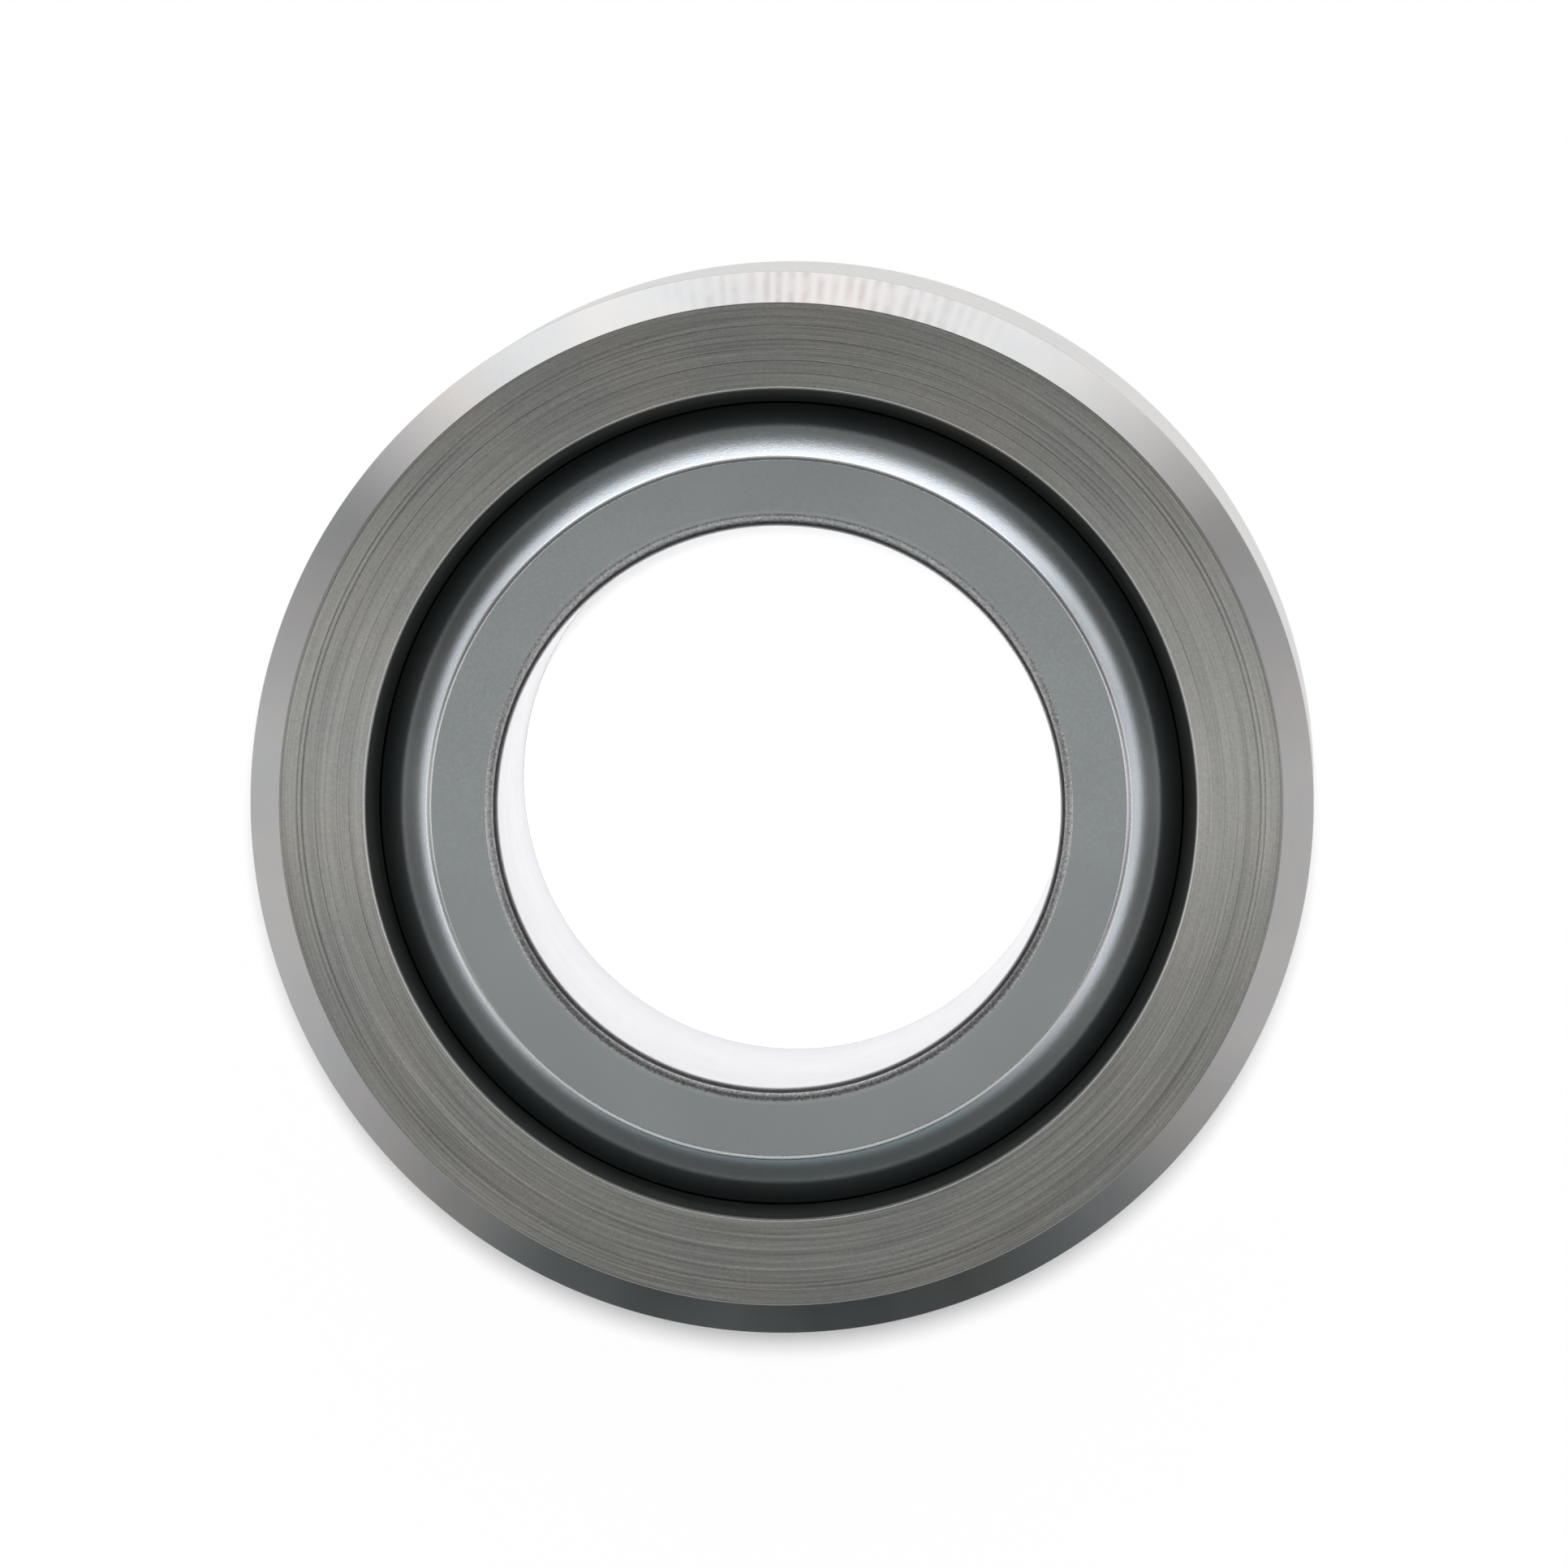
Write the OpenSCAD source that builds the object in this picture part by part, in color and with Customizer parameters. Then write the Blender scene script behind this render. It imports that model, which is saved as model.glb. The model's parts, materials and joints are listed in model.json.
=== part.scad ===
// Spherical plain bearing: a truncated ball with a through bore, captive in a solid outer ring.
// The origin is the centre of the ball, and +Z runs along the bore.
// All lengths are in millimetres and all angles in degrees.

/* [Inner ring] */
// Diameter of the bore that takes the shaft
bore_d = 15.875; // [12:0.125:17]
// Diameter of the ball that the outside of the inner ring is ground to
ball_d = 25.4; // [24:0.1:27]
// Width of the inner ring over its two end faces
inner_w = 15.875; // [14:0.125:18]
// Leg of the 45 degree chamfer at each end of the bore
bore_chamfer = 0.4; // [0.1:0.05:0.8]
// Radial width of the edge break between each end face and the ball
face_break = 0.08; // [0.02:0.01:0.3]

/* [Outer ring] */
// Outside diameter that sits in the housing
outer_d = 30.1625; // [29:0.0625:36]
// Width of the outer ring over its two end faces
outer_w = 12.7; // [9:0.1:13.5]
// Leg of the 45 degree chamfer at each end of the outside
outer_chamfer = 0.87; // [0.2:0.01:1.4]
// Radial step from the race's own opening to the rim of its relieved mouth
mouth_relief = 0.75; // [0.2:0.05:1.2]
// Angle between the wall of the relieved mouth and the bore axis
mouth_angle = 28; // [15:1:45]

/* [Fit] */
// Radial running clearance between the ball and the race
play = 0.03; // [0.01:0.01:0.1]

/* [Hidden] */
$fn = 180;

steel_colour = [0.50, 0.49, 0.46];
ball_colour = [0.54, 0.56, 0.56];

// Length by which a cutting shape reaches past the face that it cuts
overrun = 1;

bore_r = bore_d / 2;
ball_r = ball_d / 2;
inner_half = inner_w / 2;
outer_r = outer_d / 2;
outer_half = outer_w / 2;

// The flat of the end face stops short of the edge that the ball would have there
face_r = sqrt(ball_r * ball_r - inner_half * inner_half);
face_flat_r = face_r - face_break;

// The edge break leans halfway between the end face and the ball's slope at its edge
break_angle = asin(face_r / ball_r) / 2;
break_reach_r = ball_r + overrun;
break_half = inner_half - (break_reach_r - face_flat_r) * tan(break_angle);

// The race opens to this radius at the outer ring's faces, before its mouth is relieved
race_r = ball_r + play;
race_mouth_r = sqrt(race_r * race_r - outer_half * outer_half);
mouth_r = race_mouth_r + mouth_relief;
mouth_depth = mouth_relief / tan(mouth_angle);

// Disc with both end faces of the inner ring and their edge breaks
module end_faces() {
    rotate_extrude()
        polygon([
            [0, -inner_half],
            [face_flat_r, -inner_half],
            [break_reach_r, -break_half],
            [break_reach_r, break_half],
            [face_flat_r, inner_half],
            [0, inner_half]
        ]);
}

// Bore with the chamfers at its two ends, as the shape to be cut away
module chamfered_bore() {
    mouth = bore_r + bore_chamfer + overrun;
    rotate_extrude()
        polygon([
            [0, -inner_half - overrun],
            [mouth, -inner_half - overrun],
            [bore_r, -inner_half + bore_chamfer],
            [bore_r, inner_half - bore_chamfer],
            [mouth, inner_half + overrun],
            [0, inner_half + overrun]
        ]);
}

// Disc with the outside of the outer ring, its two faces and its chamfers
module outer_blank() {
    rotate_extrude()
        polygon([
            [0, -outer_half],
            [outer_r - outer_chamfer, -outer_half],
            [outer_r, -outer_half + outer_chamfer],
            [outer_r, outer_half - outer_chamfer],
            [outer_r - outer_chamfer, outer_half],
            [0, outer_half]
        ]);
}

// Cone that relieves the mouth of the race at the upper face, as the shape to be cut away
module mouth_cone() {
    translate([0, 0, outer_half - mouth_depth])
        cylinder(
            h = mouth_depth + overrun,
            r1 = race_mouth_r,
            r2 = mouth_r + overrun * tan(mouth_angle)
        );
}

// Ring that sits in the housing and carries the race
module outer_ring() {
    color(steel_colour)
        difference() {
            outer_blank();
            sphere(r = race_r);
            mouth_cone();
            mirror([0, 0, 1]) mouth_cone();
        }
}

// Ball that sits on the shaft and tilts in the race
module inner_ring() {
    color(ball_colour)
        difference() {
            intersection() {
                sphere(r = ball_r);
                end_faces();
            }
            chamfered_bore();
        }
}

outer_ring();
inner_ring();
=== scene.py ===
import json
import math

import bpy
from mathutils import Matrix, Vector


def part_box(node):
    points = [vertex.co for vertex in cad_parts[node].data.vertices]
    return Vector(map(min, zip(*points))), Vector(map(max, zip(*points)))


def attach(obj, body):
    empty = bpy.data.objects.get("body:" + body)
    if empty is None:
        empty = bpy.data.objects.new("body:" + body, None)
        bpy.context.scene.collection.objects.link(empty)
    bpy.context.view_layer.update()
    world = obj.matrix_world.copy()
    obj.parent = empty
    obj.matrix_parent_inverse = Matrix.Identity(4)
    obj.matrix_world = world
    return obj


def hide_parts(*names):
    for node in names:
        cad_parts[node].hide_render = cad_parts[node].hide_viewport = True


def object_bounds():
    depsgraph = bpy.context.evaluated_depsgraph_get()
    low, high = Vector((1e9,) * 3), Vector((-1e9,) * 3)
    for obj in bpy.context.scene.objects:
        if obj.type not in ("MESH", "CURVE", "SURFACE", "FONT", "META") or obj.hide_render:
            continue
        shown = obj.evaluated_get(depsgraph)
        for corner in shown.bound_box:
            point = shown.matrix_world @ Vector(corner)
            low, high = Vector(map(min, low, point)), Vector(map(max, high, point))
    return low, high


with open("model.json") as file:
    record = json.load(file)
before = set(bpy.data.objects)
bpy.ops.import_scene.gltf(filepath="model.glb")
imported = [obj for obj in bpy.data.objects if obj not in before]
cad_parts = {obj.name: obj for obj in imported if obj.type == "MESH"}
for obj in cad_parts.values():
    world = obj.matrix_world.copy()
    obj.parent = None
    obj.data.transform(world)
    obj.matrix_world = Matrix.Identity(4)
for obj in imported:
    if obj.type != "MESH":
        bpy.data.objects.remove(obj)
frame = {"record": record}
cad_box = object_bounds()

MM = 0.001
WHITE = (1, 1, 1, 1)

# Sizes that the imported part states
mount_sizes = {mount["name"]: mount["dims"] for mount in frame["record"]["mounts"]}
bore_r = mount_sizes["bore"]["r_mm"] * MM
outer_r = mount_sizes["housing_seat"]["r_mm"] * MM
inner_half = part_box("inner_ring")[1].z
outer_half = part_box("outer_ring")[1].z
outer_chamfer = outer_half - mount_sizes["housing_seat"]["length_mm"] * MM / 2

# Sizes of the ball, the race and its relieved mouth, as in the part's source
ball_r = 12.7 * MM
play = 0.03 * MM
mouth_relief = 0.75 * MM
mouth_angle = math.radians(28)
race_r = ball_r + play
race_mouth_r = math.sqrt(race_r**2 - outer_half**2)
mouth_r = race_mouth_r + mouth_relief

# Radii of the rounded edges
face_edge_round = 0.20 * MM
bore_edge_round = 0.47 * MM
chamfer_edge_round = 0.05 * MM
mouth_edge_round = 0.09 * MM
# Leg of the 45 degree bevel whose two corners are rounded into the edge of the bore
bore_bevel = 0.28 * MM

# Tool grooves in the faces of the outer ring, each as its radius, half width and depth in millimetres
GROOVES_MM = [
    (14.16, 0.030, 0.014),
    (13.72, 0.028, 0.018),
    (13.58, 0.034, 0.024),
    (13.20, 0.025, 0.004),
    (12.95, 0.030, 0.004),
    (12.60, 0.030, 0.003),
    (12.25, 0.025, 0.004),
]

# Fineness of the turned meshes
TURN_STEPS = 400
ROUND_STEPS = 10
HALF_BALL_STEPS = 28
HALF_RACE_STEPS = 12
GROOVE_STEPS = 8
# Steps of the bore's rounded edge that still have the matt finish of the face
MATT_STEPS = 3


# A profile is a list of stations in (r, z), in an order that keeps the solid on the left.
# Each has the surface normals before and after it, and the zone of the strip that follows it.
def station(point, before, after, zone):
    return {"at": point, "before": before, "after": after, "zone": zone}


def unit(vector):
    length = math.hypot(*vector)
    return (vector[0] / length, vector[1] / length)


def flipped(vector):
    return (vector[0], -vector[1])


def outward(start, end):
    """Normal of a straight stretch of a profile."""
    along = unit((end[0] - start[0], end[1] - start[1]))
    return (along[1], -along[0])


def polar_normal(polar):
    """Unit vector at an angle from +Z."""
    return (math.sin(polar), math.cos(polar))


def on_arc(centre, radius, normal):
    return (centre[0] + radius * normal[0], centre[1] + radius * normal[1])


def rounded_corner(before, corner, after, radius, zones):
    """Stations of a rounded corner between two straight stretches: the round belongs to the first zone."""
    in_normal = outward(before, corner)
    out_normal = outward(corner, after)
    in_angle = math.atan2(in_normal[1], in_normal[0])
    turn = math.atan2(
        in_normal[0] * out_normal[1] - in_normal[1] * out_normal[0],
        in_normal[0] * out_normal[0] + in_normal[1] * out_normal[1],
    )
    middle = unit((in_normal[0] + out_normal[0], in_normal[1] + out_normal[1]))
    centre = on_arc(corner, -radius / math.cos(turn / 2), middle)
    out = []
    for step in range(ROUND_STEPS + 1):
        angle = in_angle + turn * step / ROUND_STEPS
        normal = (math.cos(angle), math.sin(angle))
        zone = zones[1] if step == ROUND_STEPS else zones[0]
        out.append(station(on_arc(centre, radius, normal), normal, normal, zone))
    return out


def mirrored(stations, last_zone):
    """The lower half of a profile that is alike on both sides, to follow its upper half."""
    zones = [s["zone"] for s in stations][-2::-1] + [last_zone]
    return [
        station(flipped(s["at"]), flipped(s["after"]), flipped(s["before"]), zone)
        for s, zone in zip(reversed(stations), zones)
    ]


def inner_profile():
    """Closed section of the inner ring, from mid ball up, over the face and down the bore."""
    middle = (0, 0)
    face_out = (ball_r, inner_half)
    bevel_high = (bore_r + bore_bevel, inner_half)
    bevel_low = (bore_r, inner_half - bore_bevel)
    bore_middle = (bore_r, 0)
    # The round at the edge of the face touches both the ball and the face
    edge_centre_z = inner_half - face_edge_round
    edge_polar = math.acos(edge_centre_z / (ball_r - face_edge_round))
    edge_centre = ((ball_r - face_edge_round) * math.sin(edge_polar), edge_centre_z)
    upper = []
    for step in range(HALF_BALL_STEPS + 1):
        normal = polar_normal(math.pi / 2 + (edge_polar - math.pi / 2) * step / HALF_BALL_STEPS)
        zone = "face_edge" if step == HALF_BALL_STEPS else "ball"
        upper.append(station(on_arc(middle, ball_r, normal), normal, normal, zone))
    for step in range(1, ROUND_STEPS + 1):
        normal = polar_normal(edge_polar * (1 - step / ROUND_STEPS))
        zone = "face" if step == ROUND_STEPS else "face_edge"
        upper.append(station(on_arc(edge_centre, face_edge_round, normal), normal, normal, zone))
    bore_edge = rounded_corner(face_out, bevel_high, bevel_low, bore_edge_round, ("bore_edge", "bore_edge"))
    for s in bore_edge[:MATT_STEPS]:
        s["zone"] = "face"
    upper += bore_edge
    upper += rounded_corner(bevel_high, bevel_low, bore_middle, bore_edge_round, ("bore_lip", "bore"))
    return upper + mirrored(upper[1:], "ball")


def groove(radius, half_width, depth):
    """Stations of one shallow round-bottomed tool groove in the face of the outer ring."""
    out = []
    for step in range(GROOVE_STEPS + 1):
        turn = 2 * math.pi * step / GROOVE_STEPS
        across = radius + half_width * (1 - 2 * step / GROOVE_STEPS)
        down = depth * (1 - math.cos(turn)) / 2
        slope = depth * math.sin(turn) * math.pi / (2 * half_width)
        normal = unit((-slope, 1))
        out.append(station((across, outer_half - down), normal, normal, "face"))
    return out


def outer_profile():
    """Closed section of the outer ring, from mid outside up, over the face and down the race."""
    middle = (0, 0)
    side = (outer_r, 0)
    chamfer_low = (outer_r, outer_half - outer_chamfer)
    chamfer_high = (outer_r - outer_chamfer, outer_half)
    mouth = (mouth_r, outer_half)
    # The wall of the mouth ends on the race, at a depth that a quadratic equation gives
    lean = math.tan(mouth_angle)
    square = 1 + lean**2
    linear = -2 * (mouth_r * lean + outer_half)
    constant = mouth_r**2 + outer_half**2 - race_r**2
    wall_depth = (-linear - math.sqrt(linear * linear - 4 * square * constant)) / (2 * square)
    wall_end = (mouth_r - wall_depth * lean, outer_half - wall_depth)
    upper = [station(side, (1, 0), (1, 0), "outside")]
    upper += rounded_corner(side, chamfer_low, chamfer_high, chamfer_edge_round, ("outside", "chamfer"))
    upper += rounded_corner(chamfer_low, chamfer_high, mouth, chamfer_edge_round, ("chamfer", "face"))
    for sizes in GROOVES_MM:
        upper += groove(*[size * MM for size in sizes])
    upper += rounded_corner(chamfer_high, mouth, wall_end, mouth_edge_round, ("mouth_edge", "mouth"))
    race_start = math.atan2(wall_end[0], wall_end[1])
    wall_normal = outward(mouth, wall_end)
    for step in range(HALF_RACE_STEPS + 1):
        radial = polar_normal(race_start + (math.pi / 2 - race_start) * step / HALF_RACE_STEPS)
        normal = (-radial[0], -radial[1])
        before = wall_normal if step == 0 else normal
        upper.append(station(on_arc(middle, race_r, radial), before, normal, "race"))
    return upper + mirrored(upper[1:-1], "outside")


def turned(name, profile, zone_materials):
    """Mesh object of a profile turned about Z, with one material per zone and exact normals."""
    rings = len(profile)
    zones = list(zone_materials)
    turns = []
    for step in range(TURN_STEPS):
        angle = 2 * math.pi * step / TURN_STEPS
        turns.append((math.cos(angle), math.sin(angle)))
    vertices = []
    for cos, sin in turns:
        vertices += [(s["at"][0] * cos, s["at"][0] * sin, s["at"][1]) for s in profile]
    faces = []
    slots = []
    normals = []
    for turn in range(TURN_STEPS):
        following = (turn + 1) % TURN_STEPS
        for ring, s in enumerate(profile):
            after = (ring + 1) % rings
            corners = [(turn, ring, "after"), (following, ring, "after")]
            corners += [(following, after, "before"), (turn, after, "before")]
            faces.append([t * rings + r for t, r, _ in corners])
            slots.append(zones.index(s["zone"]))
            for t, r, side in corners:
                cos, sin = turns[t]
                out, up = profile[r][side]
                normals.append((out * cos, out * sin, up))
    mesh = bpy.data.meshes.new(name)
    mesh.from_pydata(vertices, [], faces)
    for material in zone_materials.values():
        mesh.materials.append(material)
    mesh.polygons.foreach_set("material_index", slots)
    mesh.polygons.foreach_set("use_smooth", [True] * len(faces))
    mesh.update()
    mesh.normals_split_custom_set(normals)
    piece = bpy.data.objects.new(name, mesh)
    bpy.context.scene.collection.objects.link(piece)
    return piece


# Span that most values of a noise lie in
NOISE_SPAN = (0.3, 0.7)
# Detail and roughness of the noise for the finest marks and grains
FINE_DETAIL = 3.0
FINE_ROUGHNESS = 0.6
# Share by which the roughness of a steel goes up and down with its marks or grain
ROUGH_SWING = 0.15

# Streaks of turned steel: how fast they change round the turn, and their shares in its tone
FINE_TURNS = 2.4
BROAD_TURNS = 1.2
FINE_SHARE = 0.72
BROAD_SHARE = 0.28
# How many times wider and deeper its broad streaks are than the fine ones
BROAD_WIDTH = 8
BROAD_HEIGHT = 1.5
# Specks on it, and how many times weaker they are than its streaks
SPECK_SCALE = 16000.0
SPECK_FADE = 3
# Patches with a faint shift of colour on it
STAIN_SCALE = 300.0
STAIN_DETAIL = 4.0
STAIN_SPAN = (0.35, 0.65)
COOL_PATCH = (0.95, 0.97, 0.98, 1)
WARM_PATCH = (1.05, 1.02, 1.0, 1)
# Turn of its stretched highlights, as a share of a full turn
ACROSS_THE_MARKS = 0.25

# Clouds of fine steel: how many times wider they are than its grain, and their tones
CLOUD_WIDTH = 40
CLOUD_TONES = (0.96, 1.03)

# Ripples of chatter that would fit on a full turn, and how far they stray from even steps
CHATTER_COUNT = 230
CHATTER_STRAY = 7.0
CHATTER_STRAY_SCALE = 14.0
CHATTER_STRAY_DETAIL = 1.0
# Middle of the sector that shows them, and the angles from it where they end and are full, in radians
CHATTER_MIDDLE = 1.46
CHATTER_FADE = (0.40, 0.1)
# Patches where they are weaker, and their colour
CHATTER_PATCH_SCALE = 1500.0
CHATTER_PATCH_SPAN = (0.35, 0.6)
CHATTER_PATCH_SHARES = (0.25, 1.0)
CHATTER_TINT = (0.84, 0.79, 0.80, 1)


class Nodes:
    """Short way to add and join the nodes of one material."""

    def __init__(self, name):
        self.material = bpy.data.materials.new(name)
        self.material.use_nodes = True
        self.tree = self.material.node_tree
        self.tree.nodes.clear()

    def add(self, kind, inputs=None, **settings):
        node = self.tree.nodes.new(kind)
        for key, value in settings.items():
            setattr(node, key, value)
        for key, value in (inputs or {}).items():
            if isinstance(value, bpy.types.NodeSocket):
                self.tree.links.new(value, node.inputs[key])
            else:
                node.inputs[key].default_value = value
        return node

    def calc(self, operation, *values):
        return self.add("ShaderNodeMath", dict(enumerate(values)), operation=operation).outputs[0]

    def plus(self, first, *others):
        for other in others:
            first = self.calc("ADD", first, other)
        return first

    def times(self, first, *others):
        for other in others:
            first = self.calc("MULTIPLY", first, other)
        return first

    def length(self, x, y):
        return self.calc("SQRT", self.plus(self.calc("POWER", x, 2), self.calc("POWER", y, 2)))

    def place(self):
        return self.add("ShaderNodeTexCoord").outputs["Object"]

    def split(self, vector):
        return self.add("ShaderNodeSeparateXYZ", {0: vector}).outputs

    def vector(self, *parts):
        return self.add("ShaderNodeCombineXYZ", dict(enumerate(parts))).outputs[0]

    def noise(self, vector, scale, detail=2.0, roughness=0.5):
        inputs = {"Vector": vector, "Scale": scale, "Detail": detail, "Roughness": roughness}
        return self.add("ShaderNodeTexNoise", inputs).outputs["Fac"]

    def remap(self, value, span, to_span=(0.0, 1.0), smooth=False):
        """A value moved from one span to another, and held inside it."""
        inputs = {0: value, 1: span[0], 2: span[1], 3: to_span[0], 4: to_span[1]}
        kind = "SMOOTHSTEP" if smooth else "LINEAR"
        return self.add("ShaderNodeMapRange", inputs, interpolation_type=kind).outputs[0]

    def swing(self, noise, share, middle=1.0):
        """A value that goes up and down with a noise, by a share of its middle."""
        return self.remap(noise, NOISE_SPAN, (middle * (1 - share), middle * (1 + share)))

    def mix(self, factor, first, second):
        inputs = {"Factor": factor, "A": first, "B": second}
        return self.add("ShaderNodeMix", inputs, data_type="RGBA").outputs["Result"]

    def scaled(self, colour, factor):
        return self.add("ShaderNodeVectorMath", {0: colour, "Scale": factor}, operation="SCALE").outputs[0]

    def tinted(self, colour, tint):
        return self.add("ShaderNodeVectorMath", {0: colour, 1: tint}, operation="MULTIPLY").outputs[0]

    def around_axis(self, radial_scale, turn_scale):
        """Coordinates for marks that run round the axis: fine across the radius, long round the turn."""
        x, y, z = self.split(self.place())
        radius = self.length(x, y)
        across = self.times(self.plus(radius, z), radial_scale)
        east = self.times(self.calc("DIVIDE", x, radius), turn_scale)
        north = self.times(self.calc("DIVIDE", y, radius), turn_scale)
        return self.vector(across, east, north)

    def shaded_to_seam(self, tint, radii, shares):
        """A tint that changes towards the seam between the rings, as painted shade of the crevice there."""
        x, y, _ = self.split(self.place())
        return self.scaled(tint, self.remap(self.length(x, y), radii, shares, smooth=True))

    def chatter_wave(self):
        """Ripples across the cut, uneven, and only on the side where the tool came to rest."""
        place = self.place()
        x, y, _ = self.split(place)
        angle = self.calc("ARCTAN2", y, x)
        stray = self.noise(self.vector(angle), CHATTER_STRAY_SCALE, CHATTER_STRAY_DETAIL)
        phase = self.plus(self.times(angle, CHATTER_COUNT), self.times(stray, CHATTER_STRAY))
        ripple = self.times(self.plus(self.calc("SINE", phase), 1.0), 0.5)
        patch = self.remap(self.noise(place, CHATTER_PATCH_SCALE), CHATTER_PATCH_SPAN, CHATTER_PATCH_SHARES)
        off_middle = self.calc("ABSOLUTE", self.calc("SUBTRACT", angle, CHATTER_MIDDLE))
        return self.times(ripple, patch, self.remap(off_middle, CHATTER_FADE, smooth=True))

    def finish(self, shader):
        self.add("ShaderNodeOutputMaterial", {"Surface": shader.outputs[0]})
        return self.material

    def metal(self, tint, rough, height, depth, more=None):
        """The finished material of a metal whose bumps follow a height and a depth in metres."""
        bump = self.add("ShaderNodeBump", {"Strength": 1.0, "Distance": depth, "Height": height})
        inputs = {"Base Color": tint, "Metallic": 1.0, "Roughness": rough, "Normal": bump.outputs[0]}
        return self.finish(self.add("ShaderNodeBsdfPrincipled", {**inputs, **(more or {})}))


def turned_steel(name, colour, roughness, anisotropy, marks, depth, contrast, chatter=0.0, seam_shade=None):
    """Bare turned steel with fine tool marks round the axis, and chatter across them where it is given."""
    n = Nodes(name)
    place = n.place()
    fine = n.noise(n.around_axis(marks, FINE_TURNS), 1.0, FINE_DETAIL, FINE_ROUGHNESS)
    broad = n.noise(n.around_axis(marks / BROAD_WIDTH, BROAD_TURNS), 1.0)
    streak = n.plus(n.times(fine, FINE_SHARE), n.times(broad, BROAD_SHARE))
    speck = n.noise(place, SPECK_SCALE)
    tone = n.times(n.swing(streak, contrast), n.swing(speck, contrast / SPECK_FADE))
    stain = n.remap(n.noise(place, STAIN_SCALE, STAIN_DETAIL), STAIN_SPAN)
    tint = n.tinted(n.scaled(colour, tone), n.mix(stain, COOL_PATCH, WARM_PATCH))
    # Painted shade, darker towards the seam between the rings, where it is given
    if seam_shade:
        tint = n.shaded_to_seam(tint, *seam_shade)
    height = n.plus(fine, n.times(broad, BROAD_HEIGHT))
    if chatter:
        wave = n.chatter_wave()
        tint = n.tinted(tint, n.mix(wave, WHITE, CHATTER_TINT))
        height = n.plus(height, n.times(wave, chatter))
    stretch = {
        "Anisotropic": anisotropy,
        "Anisotropic Rotation": ACROSS_THE_MARKS,
        "Tangent": n.add("ShaderNodeTangent", direction_type="RADIAL", axis="Z").outputs[0],
    }
    return n.metal(tint, n.swing(fine, ROUGH_SWING, roughness), height, depth, stretch)


def fine_steel(name, colour, roughness, grain, depth, mottle=0.03, seam_shade=None):
    """Ground, blasted or plated steel with an even fine grain."""
    n = Nodes(name)
    place = n.place()
    speck = n.noise(place, grain, FINE_DETAIL, FINE_ROUGHNESS)
    cloud = n.noise(place, grain / CLOUD_WIDTH)
    tone = n.times(n.remap(cloud, NOISE_SPAN, CLOUD_TONES), n.swing(speck, mottle))
    tint = n.scaled(colour, tone)
    # Painted shade, darker towards the seam between the rings, where it is given
    if seam_shade:
        tint = n.shaded_to_seam(tint, *seam_shade)
    return n.metal(tint, n.swing(speck, ROUGH_SWING, roughness), speck, depth)


# Colours of the steel on the outer ring; the mouth and the race get a dark colour that is painted shade of
# the crevice between the rings
FACE_STEEL = (0.445, 0.445, 0.42)
CHAMFER_STEEL = (0.535, 0.53, 0.53)
OUTSIDE_STEEL = (0.475, 0.472, 0.468)
MOUTH_EDGE_STEEL = (0.68, 0.67, 0.65)
# Dark colour of the mouth and the race: painted shade of the crevice between the rings
CREVICE_SHADE_STEEL = (0.185, 0.195, 0.18)
# Colours of the steel on the inner ring
BALL_CHROME = (0.47, 0.507, 0.54)
END_FACE_STEEL = (0.535, 0.575, 0.58)
WORN_STEEL = (0.88, 0.90, 0.92)
BORE_EDGE_STEEL = (0.61, 0.61, 0.615)
# Dark lip at the edge of the bore: painted shadow of the burr there
BORE_LIP_SHADE = (0.17, 0.17, 0.175)
BORE_STEEL = (0.42, 0.42, 0.44)

# Painted shade at the seam between the rings: the radii where it begins and where it is full, and the
# shares of the tint there
# Ball darker towards the seam: painted shade of the crevice
BALL_SEAM_SHADE = ((10.6 * MM, 11.2 * MM), (1.0, 0.79))
MOUTH_SEAM_SHADE = ((mouth_r, 11.41 * MM), (1.3, 0.75))

outer_zones = {
    "outside": turned_steel(
        "outside_steel",
        OUTSIDE_STEEL,
        roughness=0.26,
        anisotropy=0.3,
        marks=14000,
        depth=0.3e-6,
        contrast=0.13,
    ),
    "chamfer": turned_steel(
        "chamfer_steel",
        CHAMFER_STEEL,
        roughness=0.22,
        anisotropy=0.3,
        marks=6000,
        depth=0.3e-6,
        contrast=0.05,
        chatter=8.0,
    ),
    "face": turned_steel(
        "face_steel",
        FACE_STEEL,
        roughness=0.28,
        anisotropy=0.85,
        marks=19000,
        depth=0.9e-6,
        contrast=0.30,
    ),
    "mouth_edge": turned_steel(
        "mouth_edge_steel",
        MOUTH_EDGE_STEEL,
        roughness=0.22,
        anisotropy=0.3,
        marks=6000,
        depth=0.3e-6,
        contrast=0.20,
    ),
    "mouth": turned_steel(
        "mouth_steel",
        CREVICE_SHADE_STEEL,
        roughness=0.55,
        anisotropy=0.3,
        marks=9000,
        depth=0.6e-6,
        contrast=0.15,
        seam_shade=MOUTH_SEAM_SHADE,
    ),
    "race": fine_steel("race_steel", CREVICE_SHADE_STEEL, roughness=0.3, grain=20000, depth=0.2e-6),
}
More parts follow.
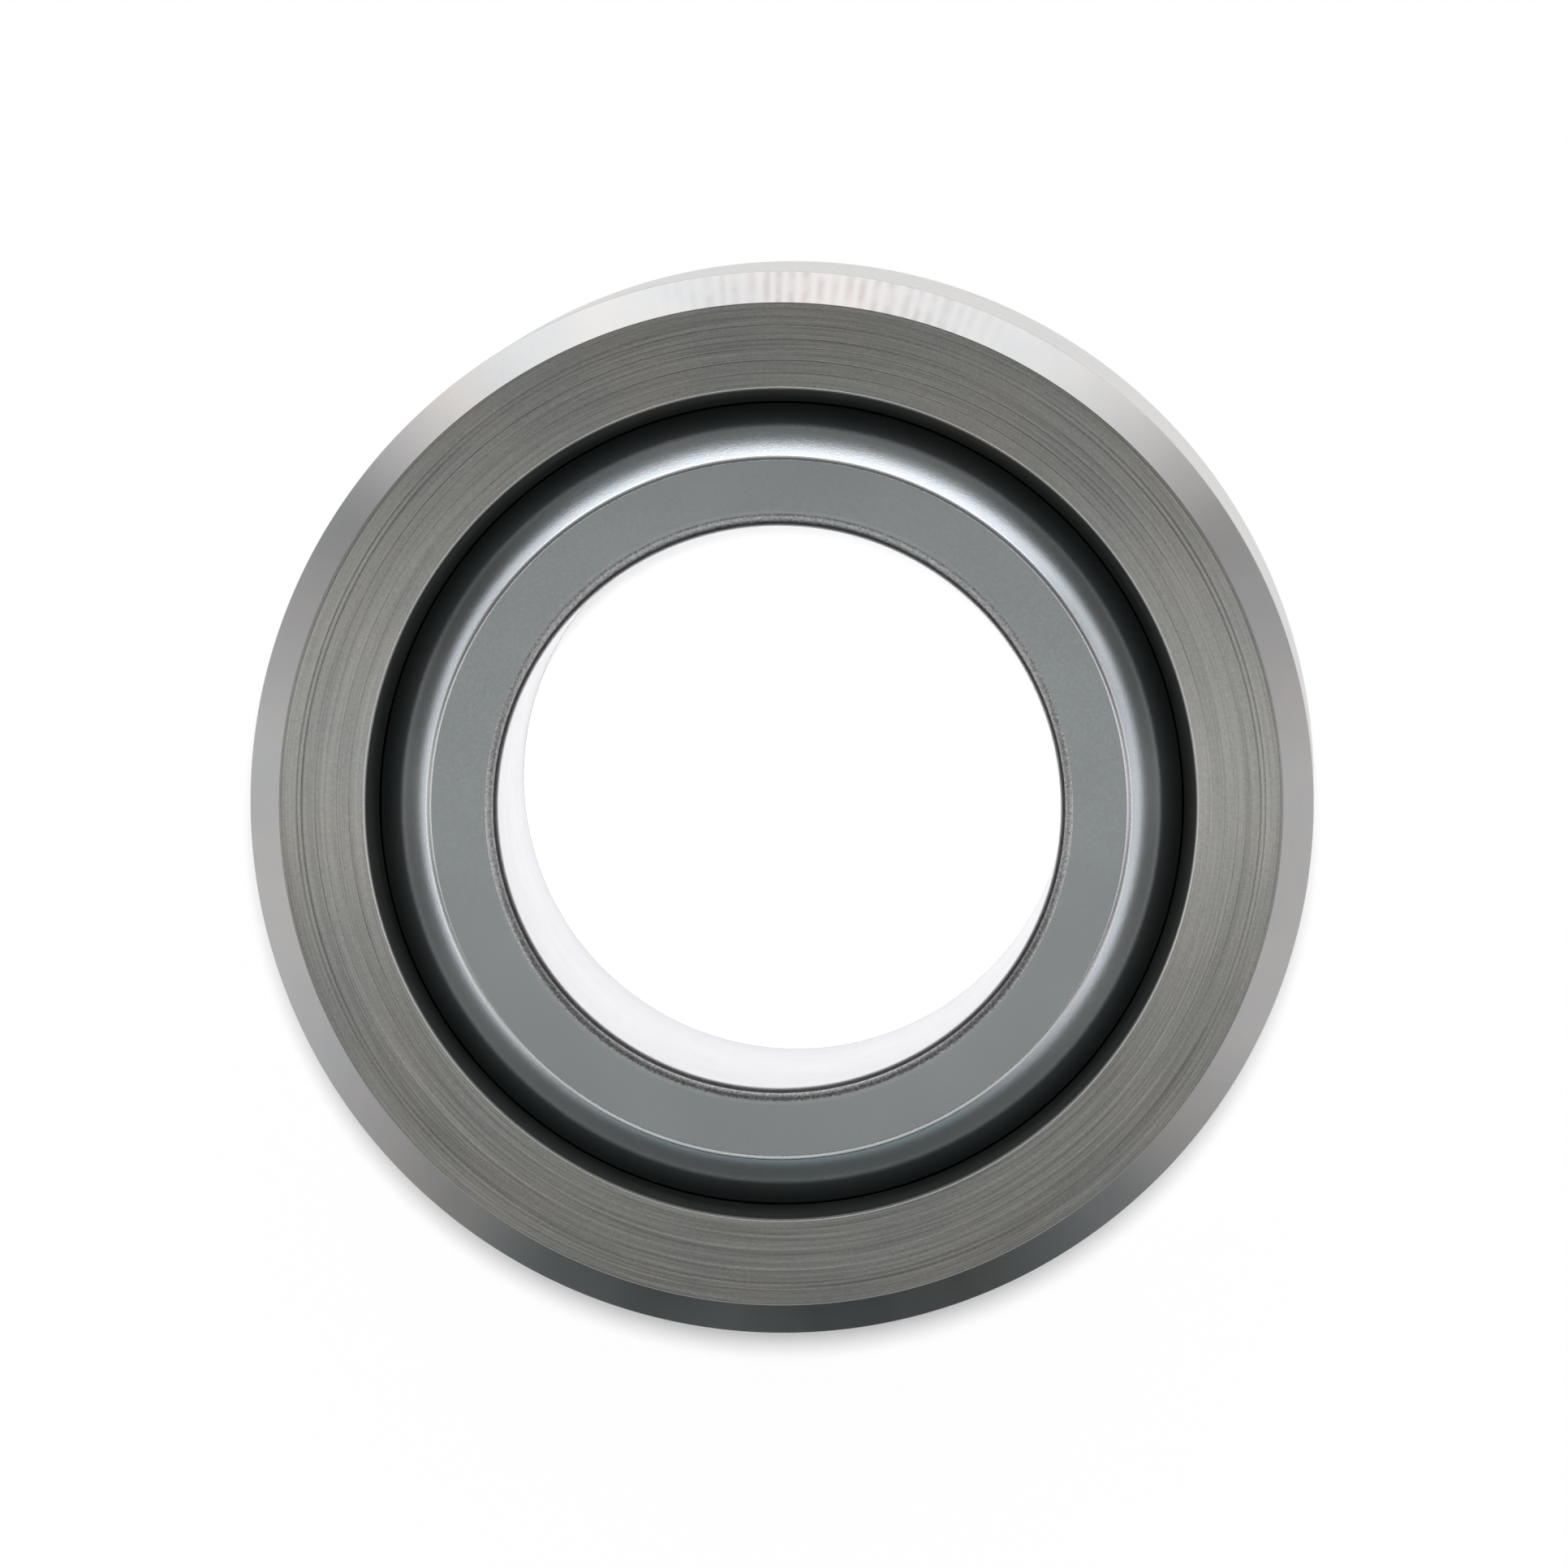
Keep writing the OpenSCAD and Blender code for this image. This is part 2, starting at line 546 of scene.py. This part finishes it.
inner_zones = {
    "ball": fine_steel(
        "ball_chrome",
        BALL_CHROME,
        roughness=0.15,
        grain=17000,
        depth=2.4e-6,
        mottle=0.08,
        seam_shade=BALL_SEAM_SHADE,
    ),
    "face": fine_steel("end_face_steel", END_FACE_STEEL, roughness=0.45, grain=12000, depth=0.4e-6),
    "face_edge": fine_steel(
        "face_edge_steel", WORN_STEEL, roughness=0.16, grain=25000, depth=3e-6, mottle=0.15
    ),
    "bore_edge": fine_steel(
        "bore_edge_steel", BORE_EDGE_STEEL, roughness=0.24, grain=13000, depth=4e-6, mottle=0.40
    ),
    # Painted shadow of the burr at the bore's edge
    "bore_lip": fine_steel(
        "bore_lip_painted_shadow", BORE_LIP_SHADE, roughness=0.32, grain=16000, depth=1e-6, mottle=0.15
    ),
    "bore": fine_steel("bore_steel", BORE_STEEL, roughness=0.42, grain=20000, depth=0.2e-6),
}

outer_piece = turned("outer_ring_turned", outer_profile(), outer_zones)
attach(outer_piece, "outer_ring")
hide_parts("outer_ring")

inner_piece = turned("inner_ring_ball", inner_profile(), inner_zones)
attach(inner_piece, "inner_ring")
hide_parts("inner_ring")


# Floor that the bearing stands on
FLOOR_R = 0.8
FLOOR_SIDES = 96
FLOOR_COLOUR = (0.88, 0.88, 0.88, 1)
FLOOR_GRAIN = 400.0
FLOOR_ROUGHNESS = (0.85, 0.95)


def floor():
    n = Nodes("floor_white")
    rough = n.remap(n.noise(n.place(), FLOOR_GRAIN), (0.0, 1.0), FLOOR_ROUGHNESS)
    shader = n.add(
        "ShaderNodeBsdfPrincipled",
        {"Base Color": FLOOR_COLOUR, "Roughness": rough, "Specular IOR Level": 0.0},
    )
    bpy.ops.mesh.primitive_circle_add(
        vertices=FLOOR_SIDES,
        radius=FLOOR_R,
        fill_type="NGON",
        location=(0, 0, cad_box[0].z),
    )
    piece = bpy.context.object
    piece.name = "floor"
    piece.data.materials.append(n.finish(shader))


floor()


# Soft tent round the bearing, seen only in the metal's reflections
TENT_R = 0.05
TENT_SEGMENTS = 64
TENT_RINGS = 32

# Its lights fade in from one place to another along X, Y or Z, as shares of its radius.
# Each row has the place where the fade starts, the place where it is full, and its strength there.

# Strip overhead along X, and how much a distance along X counts against one along Y
STRIP = (0.29, 0.05, 0.72)
STRIP_X_SHARE = 0.26
# Side walls
WALL_FROM_FRONT = (-0.98, -0.40, 0.66)
WALL_TO_BACK = (0.90, 0.0, 1.0)
WALL_TOP = (0.75, 0.10, 1.0)
# Glow on the right wall
GLOW_RIGHT = (0.50, 0.85, 0.10)
GLOW_FROM_FRONT = (0.20, 0.42, 1.0)
GLOW_TO_BACK = (0.80, 0.58, 1.0)
# Back light, low down, stronger near its foot, with a dip halfway up
BACK_FROM_FRONT = (0.45, 0.92, 1.0)
BACK_TOP = (0.76, 0.34, 1.0)
BACK_BOTTOM = (-0.06, -0.022, 1.0)
BACK_FOOT = (0.07, 0.0, 0.95)
BACK_STRENGTH = 1.55
DIP_TOP = (0.64, 0.52, 1.0)
DIP_BOTTOM = (0.20, 0.34, 0.7)
# Front fill, halfway up
FRONT_TO_BACK = (-0.15, -0.50, 0.45)
FRONT_TOP = (0.94, 0.82, 1.0)
FRONT_BOTTOM = (0.20, 0.80, 1.0)
# Pale lower rim
RIM_TOP = (0.02, -0.10, 1.0)
RIM_FROM_FRONT = (-1.0, -0.2, 0.34)
RIM_SIDES_FROM_FRONT = (0.2, 0.5, 0.5)
RIM_SIDES_TO_BACK = (0.95, 0.65, 1.0)
RIM_STRENGTH = 0.52
# Haze above, and the light that is everywhere
HAZE_BOTTOM = (0.15, 0.45, 0.07)
EVERYWHERE = 0.05
# Cooler light far in front
COOL_FRONT = (-0.70, -0.97, 1.0)
COOL_LIGHT = (0.86, 0.99, 1.0, 1)


def tent():
    n = Nodes("tent_light")
    way = n.add("ShaderNodeVectorMath", {0: n.place()}, operation="NORMALIZE").outputs[0]
    x, y, z = n.split(way)

    def fade(value, row):
        start, full, strength = row
        return n.remap(value, (start, full), (0.0, strength), smooth=True)

    strip = fade(n.length(y, n.times(x, STRIP_X_SHARE)), STRIP)
    walls = n.times(fade(y, WALL_FROM_FRONT), fade(y, WALL_TO_BACK))
    glow = n.times(fade(x, GLOW_RIGHT), fade(y, GLOW_FROM_FRONT), fade(y, GLOW_TO_BACK))
    walls = n.times(n.plus(walls, glow), fade(z, WALL_TOP))
    back = n.times(fade(z, BACK_TOP), fade(z, BACK_BOTTOM), n.plus(fade(z, BACK_FOOT), BACK_STRENGTH))
    dip = n.times(fade(z, DIP_BOTTOM), fade(z, DIP_TOP))
    back = n.times(back, n.calc("SUBTRACT", 1.0, dip), fade(y, BACK_FROM_FRONT))
    front = n.times(fade(z, FRONT_BOTTOM), fade(z, FRONT_TOP), fade(y, FRONT_TO_BACK))
    rim_sides = n.times(fade(y, RIM_SIDES_FROM_FRONT), fade(y, RIM_SIDES_TO_BACK))
    rim = n.times(n.plus(fade(y, RIM_FROM_FRONT), rim_sides, RIM_STRENGTH), fade(z, RIM_TOP))
    total = n.plus(back, walls, strip, front, rim, fade(z, HAZE_BOTTOM), EVERYWHERE)
    colour = n.mix(fade(y, COOL_FRONT), WHITE, COOL_LIGHT)
    material = n.finish(n.add("ShaderNodeEmission", {"Color": colour, "Strength": total}))
    material.cycles.emission_sampling = "NONE"
    bpy.ops.mesh.primitive_uv_sphere_add(
        segments=TENT_SEGMENTS,
        ring_count=TENT_RINGS,
        radius=TENT_R,
        location=(0, 0, 0),
    )
    piece = bpy.context.object
    piece.name = "tent"
    piece.data.materials.append(material)
    piece.visible_camera = False
    piece.visible_diffuse = False
    piece.visible_shadow = False
    piece.visible_transmission = False
    piece.visible_volume_scatter = False


tent()


# Sun from above and a little from the back, for the floor and its shadow
SUN_STRENGTH = 2.9
SUN_SPREAD = math.radians(6)
SUN_TILT = (math.radians(-5.8), math.radians(1.9), 0)

# Narrow lamp straight above the bore, for the floor inside it
BORE_LAMP_POWER = 9.0
BORE_LAMP_CONE = math.radians(2.6)
BORE_LAMP_BLEND = 0.3
BORE_LAMP_R = 0.004
BORE_LAMP_PLACE = (0, 0, 0.4)

# Even light from all round
SKY_STRENGTH = 0.22


def lamp(name, kind, strength):
    """A lamp that doesn't show in the metal's reflections, and its object."""
    light = bpy.data.lights.new(name, kind)
    light.energy = strength
    piece = bpy.data.objects.new(name, light)
    piece.visible_glossy = False
    bpy.context.scene.collection.objects.link(piece)
    return light, piece


sun, sun_piece = lamp("back_light", "SUN", SUN_STRENGTH)
sun.angle = SUN_SPREAD
sun_piece.rotation_euler = SUN_TILT

bore_lamp, bore_lamp_piece = lamp("bore_light", "SPOT", BORE_LAMP_POWER)
bore_lamp.spot_size = BORE_LAMP_CONE
bore_lamp.spot_blend = BORE_LAMP_BLEND
bore_lamp.shadow_soft_size = BORE_LAMP_R
bore_lamp_piece.location = BORE_LAMP_PLACE

world = bpy.data.worlds.new("studio")
bpy.context.scene.world = world
world.use_nodes = True
sky = world.node_tree.nodes["Background"]
sky.inputs["Color"].default_value = WHITE
sky.inputs["Strength"].default_value = SKY_STRENGTH
world.cycles_visibility.glossy = False

# Camera at the photograph's viewing angle: where the bearing's centre lies in the picture,
# and how far the camera leans off the bearing's axis
PHOTO_W = 1932
PHOTO_MIDDLE = PHOTO_W / 2
CENTRE_PIXEL = (970.5, 975.7)
FOCAL_PIXELS = 20272
CAMERA_DISTANCE = 471.9 * MM
LEAN_RIGHT = math.radians(1.821)
LEAN_UP = math.radians(3.288)
SENSOR_MM = 36
NEAREST = 0.01
FARTHEST = 10

back = Vector((math.tan(LEAN_RIGHT), math.tan(LEAN_UP), 1)).normalized()
right = Vector((0, 1, 0)).cross(back).normalized()
up = back.cross(right)
metres_per_pixel = CAMERA_DISTANCE / FOCAL_PIXELS
aim = right * (PHOTO_MIDDLE - CENTRE_PIXEL[0]) * metres_per_pixel
aim -= up * (PHOTO_MIDDLE - CENTRE_PIXEL[1]) * metres_per_pixel
lens = bpy.data.cameras.new("camera")
lens.sensor_width = SENSOR_MM
lens.lens = FOCAL_PIXELS / PHOTO_W * SENSOR_MM
lens.clip_start = NEAREST
lens.clip_end = FARTHEST
camera = bpy.data.objects.new("camera", lens)
bpy.context.scene.collection.objects.link(camera)
camera_turn = Matrix((right, up, back)).transposed().to_4x4()
camera.matrix_world = Matrix.Translation(aim + back * CAMERA_DISTANCE) @ camera_turn
bpy.context.scene.camera = camera

bpy.context.scene.view_settings.view_transform = "Standard"
